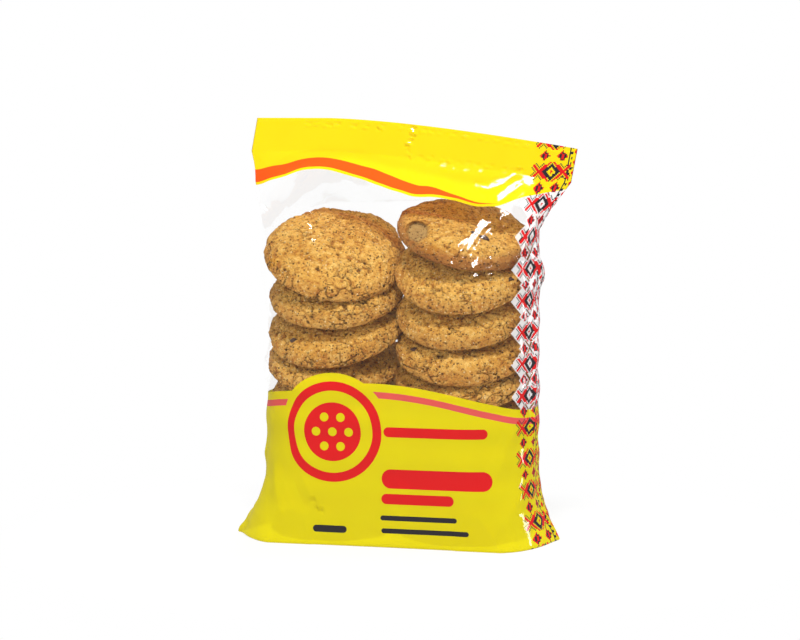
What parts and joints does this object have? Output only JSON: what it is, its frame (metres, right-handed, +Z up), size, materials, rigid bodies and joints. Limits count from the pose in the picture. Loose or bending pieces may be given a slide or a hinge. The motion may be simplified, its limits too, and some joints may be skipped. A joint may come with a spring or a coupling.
{
  "type": "pack of oatmeal raisin cookies",
  "caption": "Clear sealed film pack of oatmeal raisin cookies in side-by-side stacks, with a flat header and a plain printed lower label.",
  "frame": {"origin": "middle of the flat base the pack stands on", "axes": "+Z up to the header's top edge, front face towards -Y, +X to the right seen from the front"},
  "size_m": [0.1666, 0.071, 0.2022],
  "materials": {
    "film": "clear gloss film with yellow print"
  },
  "bodies": {
    "root": {"cookie_pack": "film"}
  },
  "joints": []
}
